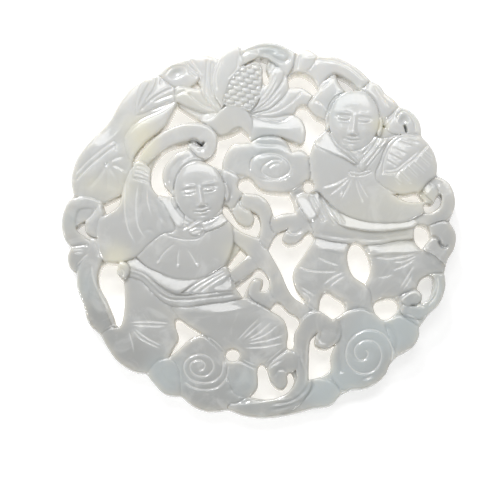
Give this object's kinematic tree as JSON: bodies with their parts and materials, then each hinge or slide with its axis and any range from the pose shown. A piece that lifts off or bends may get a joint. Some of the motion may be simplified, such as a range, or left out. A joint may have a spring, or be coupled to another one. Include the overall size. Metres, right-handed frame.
{
  "type": "openwork jade pendant",
  "caption": "Round pierced jade plaque pendant carved in relief with two boys, lotus, leaves, clouds and ribbons, flat at the back.",
  "frame": {"origin": "centre of the bounding box on the flat back, which lies on the surface", "axes": "+Z out of the carved face, +X to the viewer's right across the widest part, +Y to the top of the pendant"},
  "size_m": [0.06, 0.0576, 0.0056],
  "materials": {
    "white_jade": "polished translucent greyish white jade"
  },
  "bodies": {
    "root": {"jade_plaque": "white_jade"}
  },
  "joints": []
}
